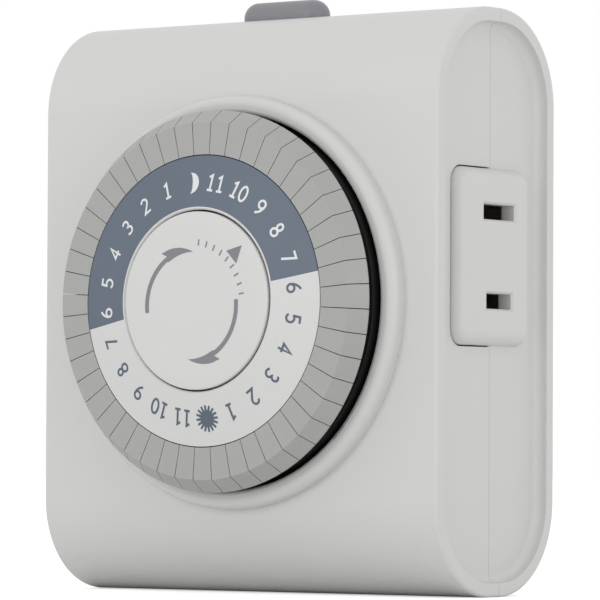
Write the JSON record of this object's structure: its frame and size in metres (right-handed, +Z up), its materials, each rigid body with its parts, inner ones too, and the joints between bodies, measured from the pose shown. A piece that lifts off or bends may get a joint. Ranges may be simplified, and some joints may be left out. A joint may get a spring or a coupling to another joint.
{
  "type": "plug-in timer switch",
  "caption": "Mains timer that plugs into a wall socket, with a turning day dial ringed by push-down tabs, an outlet on its side and an override button on top.",
  "frame": {"origin": "on the flat rear face, midway between the two plug blades", "axes": "+Z up, +Y into the wall, +X to the right seen from the front"},
  "size_m": [0.0706, 0.056, 0.0869],
  "materials": {
    "white_plastic": "fine satin",
    "disc_plastic": "satin",
    "steel": "zinc plated",
    "copper": "enamelled copper wire",
    "ferrite": "dark ferrite",
    "nickel_brass": "nickel plated",
    "brass": "bare",
    "bronze": "bare",
    "silver": "silver alloy",
    "wire_cover": "smooth",
    "screw_steel": "zinc plated",
    "black_plastic": "satin",
    "ring_plastic": "satin, printed",
    "gear_plastic": "natural acetal",
    "spring_steel": "plain",
    "gear_brass": "turned",
    "slide_plastic": "natural acetal",
    "button_plastic": "satin",
    "tripper_plastic": "satin"
  },
  "bodies": {
    "case": {"front_shell": "white_plastic", "rear_shell": "white_plastic", "centre_disc": "disc_plastic", "dial_spindle": "steel", "mechanism_plate": "steel", "motor_can": "steel", "motor_cover": "steel", "motor_coil": "copper", "motor_rotor": "ferrite", "gear_arbors": "steel", "neutral_blade": "nickel_brass", "line_blade": "nickel_brass", "neutral_bar": "brass", "line_bar": "brass", "outlet_neutral_contact": "bronze", "outlet_line_contact": "bronze", "fixed_arm": "brass", "fixed_rivet": "silver", "arm_rivet": "brass", "arm_foot": "bronze", "motor_leads": "wire_cover", "case_screws": "screw_steel", "plate_screws": "screw_steel", "motor_screws": "screw_steel"},
    "dial": {"dial_wheel": "black_plastic", "number_ring": "ring_plastic"},
    "clutch": {"clutch_gear": "gear_plastic", "clutch_pinion": "gear_plastic", "clutch_spring": "spring_steel"},
    "first_gear": {"first_gear": "gear_plastic"},
    "motor_pinion": {"motor_pinion": "gear_brass"},
    "switch_slide": {"switch_slide": "slide_plastic"},
    "moving_arm": {"moving_arm": "bronze", "moving_rivet": "silver"},
    "override_button": {"override_button": "button_plastic", "button_spring": "spring_steel"},
    "trippers_hour_01": {"trippers_hour_01": "tripper_plastic"},
    "trippers_hour_02": {"trippers_hour_02": "tripper_plastic"},
    "trippers_hour_03": {"trippers_hour_03": "tripper_plastic"},
    "trippers_hour_04": {"trippers_hour_04": "tripper_plastic"},
    "trippers_hour_05": {"trippers_hour_05": "tripper_plastic"},
    "trippers_hour_06": {"trippers_hour_06": "tripper_plastic"},
    "trippers_hour_07": {"trippers_hour_07": "tripper_plastic"},
    "trippers_hour_08": {"trippers_hour_08": "tripper_plastic"},
    "trippers_hour_09": {"trippers_hour_09": "tripper_plastic"},
    "trippers_hour_10": {"trippers_hour_10": "tripper_plastic"},
    "trippers_hour_11": {"trippers_hour_11": "tripper_plastic"},
    "trippers_hour_12": {"trippers_hour_12": "tripper_plastic"},
    "trippers_hour_13": {"trippers_hour_13": "tripper_plastic"},
    "trippers_hour_14": {"trippers_hour_14": "tripper_plastic"},
    "trippers_hour_15": {"trippers_hour_15": "tripper_plastic"},
    "trippers_hour_16": {"trippers_hour_16": "tripper_plastic"},
    "trippers_hour_17": {"trippers_hour_17": "tripper_plastic"},
    "trippers_hour_18": {"trippers_hour_18": "tripper_plastic"},
    "trippers_hour_19": {"trippers_hour_19": "tripper_plastic"},
    "trippers_hour_20": {"trippers_hour_20": "tripper_plastic"},
    "trippers_hour_21": {"trippers_hour_21": "tripper_plastic"},
    "trippers_hour_22": {"trippers_hour_22": "tripper_plastic"},
    "trippers_hour_23": {"trippers_hour_23": "tripper_plastic"},
    "trippers_hour_24": {"trippers_hour_24": "tripper_plastic"}
  },
  "joints": [
    {"name": "dial_turn", "type": "hinge", "parent": "case", "child": "dial", "pos_m": [0, -0.03, -0.0064], "axis": [0, 1, 0], "continuous": true},
    {"name": "clutch_turn", "type": "hinge", "parent": "case", "child": "clutch", "pos_m": [0.01148, -0.02, -0.02628], "axis": [0, 1, 0], "continuous": true},
    {"name": "first_gear_turn", "type": "hinge", "parent": "case", "child": "first_gear", "pos_m": [0.00208, -0.02, -0.0297], "axis": [0, 1, 0], "continuous": true},
    {"name": "motor_turn", "type": "hinge", "parent": "case", "child": "motor_pinion", "pos_m": [-0.00758, -0.018, -0.02711], "axis": [0, 1, 0], "continuous": true},
    {"name": "override_press", "type": "slide", "parent": "case", "child": "override_button", "axis": [0, 0, -1], "range_m": [0, 0.0016], "stiffness_N_per_m": 400, "springref_m": -0.001, "deforming": ["button_spring"]},
    {"name": "slide_shift", "type": "slide", "parent": "case", "child": "switch_slide", "axis": [0, 1, 0], "range_m": [0, 0.0016]},
    {"name": "arm_flex", "type": "hinge", "parent": "case", "child": "moving_arm", "pos_m": [-0.008, -0.0172, 0.0124], "axis": [-1, 0, 0], "range_deg": [0, 7.52]},
    {"name": "tripper_hour_01_push", "type": "slide", "parent": "dial", "child": "trippers_hour_01", "axis": [0, 1, 0], "range_m": [0, 0.0018]},
    {"name": "tripper_hour_02_push", "type": "slide", "parent": "dial", "child": "trippers_hour_02", "axis": [0, 1, 0], "range_m": [0, 0.0018]},
    {"name": "tripper_hour_03_push", "type": "slide", "parent": "dial", "child": "trippers_hour_03", "axis": [0, 1, 0], "range_m": [0, 0.0018]},
    {"name": "tripper_hour_04_push", "type": "slide", "parent": "dial", "child": "trippers_hour_04", "axis": [0, 1, 0], "range_m": [0, 0.0018]},
    {"name": "tripper_hour_05_push", "type": "slide", "parent": "dial", "child": "trippers_hour_05", "axis": [0, 1, 0], "range_m": [0, 0.0018]},
    {"name": "tripper_hour_06_push", "type": "slide", "parent": "dial", "child": "trippers_hour_06", "axis": [0, 1, 0], "range_m": [0, 0.0018]},
    {"name": "tripper_hour_07_push", "type": "slide", "parent": "dial", "child": "trippers_hour_07", "axis": [0, 1, 0], "range_m": [0, 0.0018]},
    {"name": "tripper_hour_08_push", "type": "slide", "parent": "dial", "child": "trippers_hour_08", "axis": [0, 1, 0], "range_m": [0, 0.0018]},
    {"name": "tripper_hour_09_push", "type": "slide", "parent": "dial", "child": "trippers_hour_09", "axis": [0, 1, 0], "range_m": [0, 0.0018]},
    {"name": "tripper_hour_10_push", "type": "slide", "parent": "dial", "child": "trippers_hour_10", "axis": [0, 1, 0], "range_m": [0, 0.0018]},
    {"name": "tripper_hour_11_push", "type": "slide", "parent": "dial", "child": "trippers_hour_11", "axis": [0, 1, 0], "range_m": [0, 0.0018]},
    {"name": "tripper_hour_12_push", "type": "slide", "parent": "dial", "child": "trippers_hour_12", "axis": [0, 1, 0], "range_m": [0, 0.0018]},
    {"name": "tripper_hour_13_push", "type": "slide", "parent": "dial", "child": "trippers_hour_13", "axis": [0, 1, 0], "range_m": [0, 0.0018]},
    {"name": "tripper_hour_14_push", "type": "slide", "parent": "dial", "child": "trippers_hour_14", "axis": [0, 1, 0], "range_m": [0, 0.0018]},
    {"name": "tripper_hour_15_push", "type": "slide", "parent": "dial", "child": "trippers_hour_15", "axis": [0, 1, 0], "range_m": [0, 0.0018]},
    {"name": "tripper_hour_16_push", "type": "slide", "parent": "dial", "child": "trippers_hour_16", "axis": [0, 1, 0], "range_m": [0, 0.0018]},
    {"name": "tripper_hour_17_push", "type": "slide", "parent": "dial", "child": "trippers_hour_17", "axis": [0, 1, 0], "range_m": [0, 0.0018]},
    {"name": "tripper_hour_18_push", "type": "slide", "parent": "dial", "child": "trippers_hour_18", "axis": [0, 1, 0], "range_m": [0, 0.0018]},
    {"name": "tripper_hour_19_push", "type": "slide", "parent": "dial", "child": "trippers_hour_19", "axis": [0, 1, 0], "range_m": [0, 0.0018]},
    {"name": "tripper_hour_20_push", "type": "slide", "parent": "dial", "child": "trippers_hour_20", "axis": [0, 1, 0], "range_m": [0, 0.0018]},
    {"name": "tripper_hour_21_push", "type": "slide", "parent": "dial", "child": "trippers_hour_21", "axis": [0, 1, 0], "range_m": [0, 0.0018]},
    {"name": "tripper_hour_22_push", "type": "slide", "parent": "dial", "child": "trippers_hour_22", "axis": [0, 1, 0], "range_m": [0, 0.0018]},
    {"name": "tripper_hour_23_push", "type": "slide", "parent": "dial", "child": "trippers_hour_23", "axis": [0, 1, 0], "range_m": [0, 0.0018]},
    {"name": "tripper_hour_24_push", "type": "slide", "parent": "dial", "child": "trippers_hour_24", "axis": [0, 1, 0], "range_m": [0, 0.0018]}
  ],
  "couplings": [
    {"joint": "clutch_turn", "follows": "dial_turn", "ratio": -7.5},
    {"joint": "first_gear_turn", "follows": "dial_turn", "ratio": 30},
    {"joint": "motor_turn", "follows": "dial_turn", "ratio": -120},
    {"joint": "slide_shift", "follows": "override_press", "ratio": 1},
    {"joint": "arm_flex", "follows": "override_press", "rad_per_m": 81.967}
  ]
}
